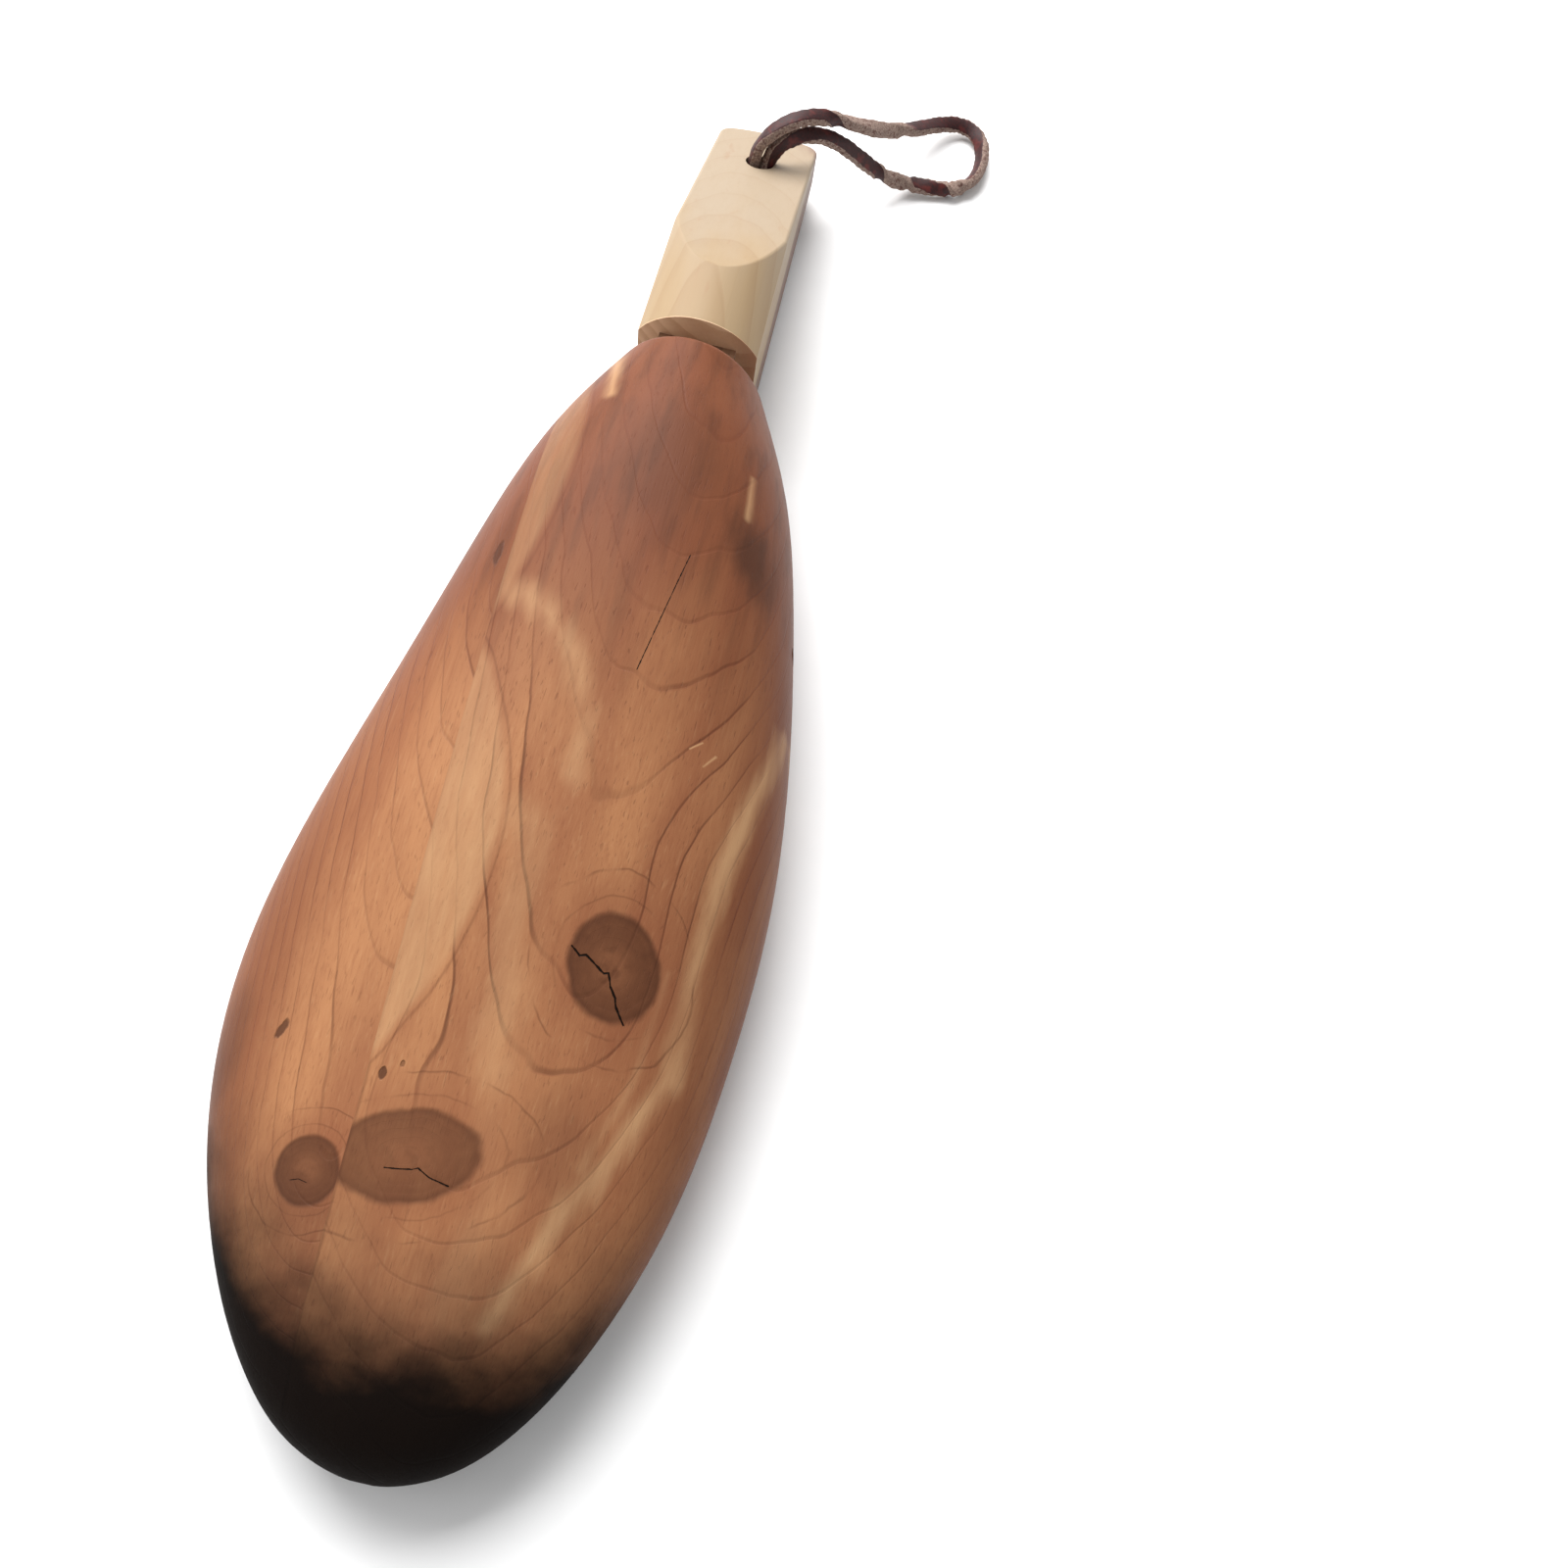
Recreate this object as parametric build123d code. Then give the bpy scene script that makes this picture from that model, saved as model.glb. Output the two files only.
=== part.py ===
from build123d import *

import math
import os

# A wooden shoe tree with a sprung, sliding heel block and a leather pull loop.
# Millimetres, +Z up. The origin lies on the sole plane, on the long axis, under the cross pin.
# The toe points to -Y and the heel to +Y.

# Forepart: the foot-shaped block
FOREPART_LENGTH = 209.0
REAR_Y = 54.0                    # rear face, measured from the cross pin
SOLE_DIP = 1.0                   # how far the carved sole would pass under the flat before it is sanded
TOE_TIP_Z = 12.0
TOE_SPRING_START = 0.80          # share of the length where the sole begins to rise to the toe
TOE_FULLNESS = 2.4               # superellipse power of that rise
TOP_FULLNESS = 2.1               # superellipse power of the upper half of a cross-section
SOLE_FULLNESS = 3.0              # and of the lower half, which is squarer
REAR_EDGE_ROUND = 1.4
FINE_POINTS = 720                # points that trace a cross-section
SPLINE_POINTS = 24               # points that its smooth outline passes through
GLUE_X = -20.3                   # glue joint between the two boards, at the cross pin
GLUE_SKEW = 2.0                  # degrees from the long axis

# Cross-sections from the rear face to the toe: share of the length, half widths, height
STATIONS = [
    (0.000, 16.1, 17.0, 41.5),
    (0.090, 25.0, 25.5, 44.2),
    (0.220, 31.7, 32.8, 45.1),
    (0.360, 37.6, 38.2, 42.3),
    (0.500, 43.7, 40.9, 38.2),
    (0.640, 46.8, 39.8, 33.4),
    (0.770, 42.9, 35.8, 29.8),
    (0.870, 34.4, 28.8, 27.2),
    (0.945, 23.6, 19.7, 23.8),
    (0.985, 13.4, 10.4, 19.0),
    (0.996, 7.6, 5.0, 15.8),
    (1.000, 2.9, 0.9, 13.2),
]

# Heel block and its tongue
HEEL_GAP = 8.0                   # between the faces, with the spring let out
BLOCK_LENGTH = 82.5
BLOCK_WIDTH = 25.0
BLOCK_END_WIDTH = 23.6
BLOCK_BOTTOM_Z = 4.5
CROWN_TOP_Z = 37.5
CROWN_RADIUS = 14.4
FACET_START = 15.0               # length of full crown before the thumb facet
FACET_END_Z = 12.5
END_BOW = 2.4                    # how far the free end bows out
END_CORNER_ROUND = 3.6
BLOCK_EDGE_ROUND = 0.8
LOOP_HOLE_Y = 128.0
LOOP_HOLE_RADIUS = 3.3
KNOT_POCKET_RADIUS = 7.5
KNOT_POCKET_DEPTH = 5.0

TONGUE_WIDTH = 16.0
TONGUE_HEIGHT = 18.0
TONGUE_FRONT_Y = -22.0
TENON_LENGTH = 22.0              # stretch of the tongue that is glued into the heel block
SOCKET_CLEARANCE = 0.4
TRAVEL = 7.5

# Cross pin, spring and spring seat
PIN_Z = 22.0
PIN_RADIUS = 1.75
PIN_HOLE_RADIUS = 1.8
PIN_ENDS_X = (-31.8, 33.0)
SLOT_RADIUS = 2.1
SLOT_PLAY = 0.1
SPRING_WIRE_RADIUS = 0.55
SPRING_RADIUS = 4.4
SPRING_LENGTH = 34.0
SPRING_COILS = 10
SPRING_POCKET_DEPTH = 14.0
SPRING_POCKET_RADIUS = 5.6
SEAT_THICKNESS = 1.2
SEAT_RADIUS = 6.0

# Leather pull loop: one strip of lace, both ends down the hole to a knot
LACE_RADIUS = 1.4
KNOT_RADIUS = 5.6
KNOT_TOP_Z = 9.0
KNOT_BOTTOM_Z = 0.9
LOOP_ROUTE = [
    (-1.5, 128.0, 9.0),
    (-1.6, 127.9, 13.0),
    (-1.5, 127.9, 18.6),
    (-0.6, 128.6, 23.4),
    (3.0, 131.2, 27.0),
    (8.4, 135.6, 27.8),
    (14.4, 140.6, 24.6),
    (20.8, 146.4, 19.2),
    (26.8, 153.6, 13.4),
    (32.2, 162.0, 8.2),
    (36.6, 168.6, 5.0),
    (40.0, 172.6, 3.2),
    (43.8, 174.5, 2.3),
    (47.5, 173.6, 2.0),
    (50.0, 170.2, 2.0),
    (51.0, 165.6, 2.0),
    (50.9, 160.6, 2.0),
    (49.6, 156.0, 2.0),
    (46.2, 152.5, 2.0),
    (41.8, 151.2, 2.0),
    (37.2, 150.8, 2.0),
    (32.8, 149.4, 3.0),
    (28.6, 146.9, 5.9),
    (24.4, 144.5, 10.1),
    (20.4, 142.3, 14.6),
    (16.4, 140.0, 18.8),
    (12.2, 137.1, 22.2),
    (7.8, 133.6, 24.0),
    (3.8, 130.4, 23.2),
    (1.7, 128.4, 19.2),
    (1.5, 127.9, 14.0),
    (1.5, 128.0, 9.0),
]
LOOP_ARC_SHARE = 0.45

BLOCK_FRONT_Y = REAR_Y + HEEL_GAP
BLOCK_END_Y = BLOCK_FRONT_Y + BLOCK_LENGTH
SOCKET_END_Y = TONGUE_FRONT_Y - TRAVEL - 1.5
SPRING_FRONT_Y = TONGUE_FRONT_Y + SPRING_POCKET_DEPTH - SPRING_LENGTH
SEAT_FACE_Y = SPRING_FRONT_Y
BORE_END_Y = SEAT_FACE_Y - SEAT_THICKNESS
BIG = 400.0


def power_point(angle, half_width, half_height, fullness):
    """A point of a superellipse quadrant, at the given parameter angle."""
    across, up = math.cos(angle), math.sin(angle)
    x = math.copysign(abs(across) ** (2 / fullness), across) * half_width
    z = math.copysign(abs(up) ** (2 / fullness), up) * half_height
    return x, z


def sole_height(share):
    """Height of the carved sole: flat, then a rounded rise to the toe tip."""
    rise = min(max(0.0, (share - TOE_SPRING_START) / (1 - TOE_SPRING_START)), 1.0)
    return TOE_TIP_Z - (TOE_TIP_Z + SOLE_DIP) * (1 - rise ** TOE_FULLNESS) ** (1 / TOE_FULLNESS)


def evenly_spaced(outline, count):
    """Points at equal steps of arc length round a closed outline."""
    closed = outline + outline[:1]
    steps = [(b - a).length for a, b in zip(closed, closed[1:])]
    spacing = sum(steps) / count
    points, walked, index = [], 0.0, 0
    for number in range(count):
        while walked + steps[index] < number * spacing:
            walked += steps[index]
            index += 1
        part_way = (number * spacing - walked) / steps[index]
        points.append(closed[index] + (closed[index + 1] - closed[index]) * part_way)
    return points


def cross_section(share, left, right, height):
    """Closed smooth outline of the forepart at a share of its length from the rear."""
    bottom = sole_height(share)
    toe_share = max(0.0, (share - 0.6) / 0.4)
    sole_power = SOLE_FULLNESS - (SOLE_FULLNESS - 2.0) * toe_share
    widest_z = bottom + (height - bottom) * (0.40 + 0.10 * toe_share)
    centre, half_width = (right - left) / 2, (right + left) / 2
    y = REAR_Y - share * FOREPART_LENGTH
    outline = []
    for step in range(FINE_POINTS):
        angle = -math.pi / 2 + 2 * math.pi * step / FINE_POINTS
        upper = math.sin(angle) > 0
        half_height = height - widest_z if upper else widest_z - bottom
        x, z = power_point(angle, half_width, half_height, TOP_FULLNESS if upper else sole_power)
        outline.append(Vector(centre + x, y, widest_z + z))
    points = evenly_spaced(outline, SPLINE_POINTS)
    even_steps = [number / SPLINE_POINTS for number in range(SPLINE_POINTS + 1)]
    return Wire([Edge.make_spline(points, periodic=True, parameters=even_steps)])


def forepart_blank():
    """The carved foot shape with its flat sole, before it is bored or divided."""
    body = Solid.make_loft([cross_section(*station) for station in STATIONS])
    body = Part() + body - Pos(0, 0, -BIG / 2) * Box(BIG, BIG, BIG)
    rear_edges = [e for e in body.edges() if abs(e.center().Y - REAR_Y) < 0.05]
    return fillet(rear_edges, REAR_EDGE_ROUND)


def along_y(radius, y_from, y_to, x=0.0, z=PIN_Z):
    """A cylinder that runs along Y."""
    rod = Cylinder(radius, y_to - y_from, rotation=(90, 0, 0))
    return Pos(x, (y_from + y_to) / 2, z) * rod


def along_x(radius, x_from, x_to, y=0.0, z=PIN_Z):
    """A cylinder that runs along X."""
    rod = Cylinder(radius, x_to - x_from, rotation=(0, 90, 0))
    return Pos((x_from + x_to) / 2, y, z) * rod


def block_between(x_size, y_from, y_to, z_size, z=PIN_Z):
    """A box centred on the long axis, between two stations."""
    return Pos(0, (y_from + y_to) / 2, z) * Box(x_size, y_to - y_from, z_size)


def forepart_boards():
    """The two glued boards, with the tongue's socket, the spring bore and the pin hole."""
    body = forepart_blank()
    socket_width = TONGUE_WIDTH + 2 * SOCKET_CLEARANCE
    socket_height = TONGUE_HEIGHT + 2 * SOCKET_CLEARANCE
    body -= block_between(socket_width, SOCKET_END_Y, REAR_Y + 5, socket_height)
    body -= along_y(SEAT_RADIUS, BORE_END_Y, SOCKET_END_Y + 1)
    body -= along_x(PIN_HOLE_RADIUS, -BIG / 4, BIG / 4)
    side_space = Pos(GLUE_X, 0, 0) * Rot(0, 0, GLUE_SKEW) * Pos(-BIG / 2, 0, 0) * Box(BIG, BIG, BIG)
    return body - side_space, body & side_space


def heel_block():
    """The crowned heel block with its thumb facet, loop hole, knot pocket and tongue mortise."""
    half, half_end = BLOCK_WIDTH / 2, BLOCK_END_WIDTH / 2
    corner_y = BLOCK_END_Y - END_BOW
    with BuildPart() as plan:
        with BuildSketch(Plane.XY.offset(BLOCK_BOTTOM_Z)):
            with BuildLine():
                Polyline(
                    (-half_end, corner_y),
                    (-half, BLOCK_FRONT_Y),
                    (half, BLOCK_FRONT_Y),
                    (half_end, corner_y),
                )
                ThreePointArc((half_end, corner_y), (0, BLOCK_END_Y), (-half_end, corner_y))
            make_face()
        extrude(amount=CROWN_TOP_Z)
        corners = [e for e in plan.edges().filter_by(Axis.Z) if e.center().Y > corner_y - 1]
        fillet(corners, END_CORNER_ROUND)
    crown_z = CROWN_TOP_Z - CROWN_RADIUS
    crown = along_y(CROWN_RADIUS, BLOCK_FRONT_Y - 5, BLOCK_END_Y + 5, z=crown_z)
    crown += Pos(0, 0, crown_z - BIG / 2) * Box(2 * CROWN_RADIUS, BIG, BIG)
    facet_y = BLOCK_FRONT_Y + FACET_START
    slope = math.degrees(math.atan2(CROWN_TOP_Z - FACET_END_Z, BLOCK_END_Y - facet_y))
    above_facet = Pos(0, facet_y, CROWN_TOP_Z) * Rot(-slope, 0, 0) * Pos(0, 0, BIG / 2) * Box(BIG, BIG, BIG)
    block = (plan.part & crown) - above_facet
    block = round_free_edges(block)
    block -= block_between(TONGUE_WIDTH, BLOCK_FRONT_Y - 1, BLOCK_FRONT_Y + TENON_LENGTH, TONGUE_HEIGHT)
    hole = Pos(0, LOOP_HOLE_Y, 0) * Cylinder(LOOP_HOLE_RADIUS, BIG)
    pocket = Pos(0, LOOP_HOLE_Y, BLOCK_BOTTOM_Z + KNOT_POCKET_DEPTH - BIG / 2)
    return block - hole - pocket * Cylinder(KNOT_POCKET_RADIUS, BIG)


def round_free_edges(block):
    """Soften every edge of the heel block that isn't on its front face."""
    front = BLOCK_FRONT_Y + 0.05
    edges = [e for e in block.edges() if min(v.Y for v in e.vertices()) > front]
    return fillet(edges, BLOCK_EDGE_ROUND)


def slide_tongue():
    """Hardwood tongue: glued into the heel block, slotted for the pin, bored for the spring."""
    tongue = block_between(TONGUE_WIDTH, TONGUE_FRONT_Y, BLOCK_FRONT_Y + TENON_LENGTH, TONGUE_HEIGHT)
    nose = [e for e in tongue.edges() if abs(e.center().Y - TONGUE_FRONT_Y) < 0.01]
    tongue = chamfer(nose, 1.0)
    slot_start = SLOT_RADIUS - PIN_RADIUS - SLOT_PLAY
    slot_end = slot_start + TRAVEL + 1.0
    slot = along_x(SLOT_RADIUS, -BIG / 4, BIG / 4, y=slot_start)
    slot += along_x(SLOT_RADIUS, -BIG / 4, BIG / 4, y=slot_end)
    slot += block_between(BIG / 2, slot_start, slot_end, 2 * SLOT_RADIUS)
    pocket = along_y(SPRING_POCKET_RADIUS, TONGUE_FRONT_Y - 1, TONGUE_FRONT_Y + SPRING_POCKET_DEPTH)
    return tongue - slot - pocket


def cross_pin():
    """Steel pin across the forepart, which keeps the tongue in its socket."""
    pin = along_x(PIN_RADIUS, *PIN_ENDS_X)
    return chamfer(pin.edges().filter_by(GeomType.CIRCLE), 0.3)


def coil_spring():
    """Compression spring between the seat washer and the blind end of the tongue's pocket."""
    wire = SPRING_WIRE_RADIUS
    rise = SPRING_LENGTH - 2 * wire
    path = Edge.make_helix(pitch=rise / SPRING_COILS, height=rise, radius=SPRING_RADIUS)
    profile = Plane(origin=path @ 0, z_dir=path % 0) * Circle(wire)
    coil = sweep(profile, path=path, is_frenet=True)
    return Pos(0, SPRING_FRONT_Y + wire, PIN_Z) * Rot(-90, 0, 0) * coil


def spring_seat():
    """Steel washer that keeps the spring's end off the soft end grain."""
    return along_y(SEAT_RADIUS - 0.1, BORE_END_Y, SEAT_FACE_Y)


def corner_radii(route):
    """The largest tangent arc for each corner of the loop's route."""
    radii = []
    for before, corner, after in zip(route, route[1:], route[2:]):
        run_in, run_out = corner - before, after - corner
        half_turn = math.radians(run_in.get_angle(run_out)) / 2
        radii.append(LOOP_ARC_SHARE * min(run_in.length, run_out.length) / math.tan(half_turn))
    return radii


def pull_loop():
    """The lace's tube along its route, from the knot up the hole, round and back down."""
    route = [Vector(*point) for point in LOOP_ROUTE]
    radii = corner_radii(route)
    path = FilletPolyline(*route, radius=radii)
    tube = sweep(Plane(origin=path @ 0, z_dir=path % 0) * Circle(LACE_RADIUS), path=path)
    expected = math.pi * LACE_RADIUS ** 2 * path.length
    print("loop arc radii", [round(r, 1) for r in radii])
    print(f"loop length {path.length:.1f} mm, volume {tube.volume:.1f} against {expected:.1f} mm3")
    return tube


def loop_knot():
    """The knot that holds both ends of the lace under the heel block."""
    height = KNOT_TOP_Z - KNOT_BOTTOM_Z
    knot = Pos(0, LOOP_HOLE_Y, (KNOT_TOP_Z + KNOT_BOTTOM_Z) / 2) * Cylinder(KNOT_RADIUS, height)
    return fillet(knot.edges().filter_by(GeomType.CIRCLE), 2.6)


def main():
    main_board, side_board = forepart_boards()
    nodes = {
        "forepart_main_board": main_board,
        "forepart_side_board": side_board,
        "heel_block": heel_block(),
        "slide_tongue": slide_tongue(),
        "cross_pin": cross_pin(),
        "coil_spring": coil_spring(),
        "spring_seat": spring_seat(),
        "pull_loop": pull_loop(),
        "loop_knot": loop_knot(),
    }
    os.makedirs("parts", exist_ok=True)
    for name, shape in nodes.items():
        export_step(shape, f"parts/{name}.step")


main()
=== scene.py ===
import math

import bmesh
import bpy
from mathutils import Matrix, Quaternion, Vector


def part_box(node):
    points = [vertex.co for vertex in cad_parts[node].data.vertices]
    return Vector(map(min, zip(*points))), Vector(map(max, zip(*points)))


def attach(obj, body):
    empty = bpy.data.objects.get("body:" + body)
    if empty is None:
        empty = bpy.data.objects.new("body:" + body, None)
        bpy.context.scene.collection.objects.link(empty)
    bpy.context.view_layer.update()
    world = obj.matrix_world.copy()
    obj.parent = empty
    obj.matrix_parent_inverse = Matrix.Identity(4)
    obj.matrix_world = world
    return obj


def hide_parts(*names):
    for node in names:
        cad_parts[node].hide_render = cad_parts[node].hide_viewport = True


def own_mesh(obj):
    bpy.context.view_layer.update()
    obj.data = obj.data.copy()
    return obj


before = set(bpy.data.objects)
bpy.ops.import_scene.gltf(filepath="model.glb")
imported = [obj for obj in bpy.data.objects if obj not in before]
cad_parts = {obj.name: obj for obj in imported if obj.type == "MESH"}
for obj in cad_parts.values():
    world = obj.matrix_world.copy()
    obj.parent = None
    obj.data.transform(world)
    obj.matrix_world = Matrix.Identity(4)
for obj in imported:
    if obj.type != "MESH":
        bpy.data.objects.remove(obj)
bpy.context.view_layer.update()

# A wooden shoe tree on a white floor. Metres in the row frame; the materials work in millimetres.

MM_PER_METRE = 1000

CAMERA_RIGHT = (0.9725, 0.2041, 0.1121)
CAMERA_UP = (-0.2325, 0.8782, 0.4180)
CAMERA_PLACE = (0.0341, -0.1488, 0.2764)
SENSOR_MM = 36
LENS_MM = 35.03
CLIP_START = 0.01

FLOOR_HALF_SIDE = 3.0
LIGHT_TARGET = (0, -0.02, 0.02)
# name, place, side length, watts
AREA_LIGHTS = [
    ("key", (-0.42, 0.66, 0.82), 1.0, 29),
    ("side", (-0.9, 0.05, 0.6), 0.8, 2.5),
]
ROOM_STRENGTH = 0.52

# The glue joint between the two boards, seen from above: x = GLUE_X + y * GLUE_SLOPE, in mm
GLUE_X = -20.3
GLUE_SLOPE = -math.tan(math.radians(2.0))
END_FACE_Y = (62.2, 62.05)       # the heel block's front end grain begins between these, mm
# Painted shade on the steel's ends, where the cross pin sits in its recesses: the half length it stays clear
# of and the width it fades in over, mm
NEVER_SHADED = 100              # longer than any steel piece's half length, mm
PIN_UNSHADED_HALF_LENGTH = 24
SHADE_FADE_WIDTH = 2

LACE_WIDTH = 0.0036
LACE_THICKNESS = 0.0025
LACE_SIDES = 16                  # corners round the lace's section
LACE_GRAIN_SIDES = range(2, 6)   # those of its faces that are the smooth dyed side
LACE_GRAIN_FACES = (0.0, -0.43, 0.90)

SPRING_WIRE_RADIUS = 0.00055
SPRING_TURNS = 10
SPRING_STEPS = 24                # per turn
SPRING_SIDES = 8                 # corners round the wire
SPRING_END = 0.1                 # share of the turns in each closed end
LOOP_ROUTE = [
    (-0.0015, 0.1280, 0.0090),
    (-0.0016, 0.1279, 0.0130),
    (-0.0015, 0.1279, 0.0186),
    (-0.0006, 0.1286, 0.0234),
    (0.0030, 0.1312, 0.0270),
    (0.0084, 0.1356, 0.0278),
    (0.0144, 0.1406, 0.0246),
    (0.0208, 0.1464, 0.0192),
    (0.0268, 0.1536, 0.0134),
    (0.0322, 0.1620, 0.0082),
    (0.0366, 0.1686, 0.0050),
    (0.0400, 0.1726, 0.0032),
    (0.0438, 0.1745, 0.0025),
    (0.0475, 0.1736, 0.0022),
    (0.0500, 0.1702, 0.0022),
    (0.0510, 0.1656, 0.0022),
    (0.0509, 0.1606, 0.0022),
    (0.0496, 0.1560, 0.0022),
    (0.0462, 0.1525, 0.0022),
    (0.0418, 0.1512, 0.0022),
    (0.0372, 0.1508, 0.0022),
    (0.0328, 0.1494, 0.0030),
    (0.0286, 0.1469, 0.0059),
    (0.0244, 0.1445, 0.0101),
    (0.0204, 0.1423, 0.0146),
    (0.0164, 0.1400, 0.0188),
    (0.0122, 0.1371, 0.0222),
    (0.0078, 0.1336, 0.0240),
    (0.0038, 0.1304, 0.0232),
    (0.0017, 0.1284, 0.0192),
    (0.0015, 0.1279, 0.0140),
    (0.0015, 0.1280, 0.0090),
]
# How the flat lace turns over along its length: share of the length, degrees from grain side up
LACE_TWIST = [
    (0.000, -90),
    (0.080, -60),
    (0.120, -25),
    (0.165, -10),
    (0.200, 150),
    (0.250, 200),
    (0.285, 350),
    (0.420, 375),
    (0.480, 420),
    (0.560, 425),
    (0.585, 540),
    (0.610, 690),
    (0.660, 735),
    (0.685, 860),
    (0.715, 930),
    (0.745, 1070),
    (0.850, 1085),
    (0.920, 1020),
    (1.000, 990),
]


# ---------------------------------------------------------------- camera, floor and light


def link(obj):
    bpy.context.scene.collection.objects.link(obj)
    return obj


def add_camera():
    """Above the toe, looking down at 64 degrees, rolled 15 degrees."""
    right, up = Vector(CAMERA_RIGHT), Vector(CAMERA_UP)
    place = Matrix((right, up, right.cross(up))).transposed().to_4x4()
    place.translation = Vector(CAMERA_PLACE)
    data = bpy.data.cameras.new("photo_camera")
    data.sensor_width = SENSOR_MM
    data.lens = LENS_MM
    data.clip_start = CLIP_START
    camera = link(bpy.data.objects.new("photo_camera", data))
    camera.matrix_world = place
    bpy.context.scene.camera = camera


def add_area_light(name, place, size, power):
    """A square white light that faces the middle of the tree."""
    data = bpy.data.lights.new(name, "AREA")
    data.size = size
    data.energy = power
    light = link(bpy.data.objects.new(name, data))
    light.location = place
    light.rotation_euler = (Vector(LIGHT_TARGET) - Vector(place)).to_track_quat("-Z", "Y").to_euler()


def add_studio():
    """A white floor, a large soft light behind the heel, a weak one from -X and a bright white room."""
    half = FLOOR_HALF_SIDE
    mesh = bpy.data.meshes.new("floor")
    corners = [(-half, -half, 0), (half, -half, 0), (half, half, 0), (-half, half, 0)]
    mesh.from_pydata(corners, [], [(0, 1, 2, 3)])
    floor = link(bpy.data.objects.new("floor", mesh))
    paint = Paint("floor_paper")
    paint.finish(paint.mix(paint.noise((9, 9, 9)), (0.90, 0.90, 0.90, 1), (0.93, 0.93, 0.93, 1)), 0.9)
    floor.data.materials.append(paint.material)
    for light in AREA_LIGHTS:
        add_area_light(*light)
    world = bpy.data.worlds.new("white_room")
    world.use_nodes = True
    background = world.node_tree.nodes["Background"]
    background.inputs["Color"].default_value = (1, 1, 1, 1)
    background.inputs["Strength"].default_value = ROOM_STRENGTH
    bpy.context.scene.world = world
    bpy.context.scene.view_settings.view_transform = "Standard"


# ---------------------------------------------------------------- materials as expressions


def linear(red, green, blue):
    """A colour as the eye sees it, 0 to 1, as the linear value that a shader takes."""
    channels = [c / 12.92 if c <= 0.04045 else ((c + 0.055) / 1.055) ** 2.4 for c in (red, green, blue)]
    return (*channels, 1)


class Field:
    """A number that varies over a surface, held as a node's output, with ordinary arithmetic."""

    def __init__(self, paint, socket):
        self.paint, self.socket = paint, socket

    def __add__(self, other):
        return self.paint.math("ADD", self, other)

    __radd__ = __add__

    def __sub__(self, other):
        return self.paint.math("SUBTRACT", self, other)

    def __rsub__(self, other):
        return self.paint.math("SUBTRACT", other, self)

    def __mul__(self, other):
        return self.paint.math("MULTIPLY", self, other)

    __rmul__ = __mul__

    def __truediv__(self, other):
        return self.paint.math("DIVIDE", self, other)

    def __pow__(self, power):
        return self.paint.math("POWER", self, power)

    def exp(self):
        return self.paint.math("EXPONENT", self)

    def least(self, other):
        return self.paint.math("MINIMUM", self, other)

    def most(self, other):
        return self.paint.math("MAXIMUM", self, other)

    def fraction(self):
        return self.paint.math("FRACT", self)

    def ramp(self, bend):
        """0 below 0 and the field's own value above it, with a bend this wide between the two."""
        return ((self * self + bend * bend) ** 0.5 + self) * 0.5

    def step(self, low, high):
        """Rises smoothly from 0 at low to 1 at high, which may be the smaller of the two."""
        node = self.paint.nodes.new("ShaderNodeMapRange")
        node.interpolation_type = "SMOOTHSTEP"
        ends = ((low, 0), (high, 1)) if low < high else ((high, 1), (low, 0))
        self.paint.put(node.inputs["Value"], self)
        for which, (position, result) in zip(("Min", "Max"), ends):
            node.inputs[f"From {which}"].default_value = position
            node.inputs[f"To {which}"].default_value = result
        return Field(self.paint, node.outputs["Result"])


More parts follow.
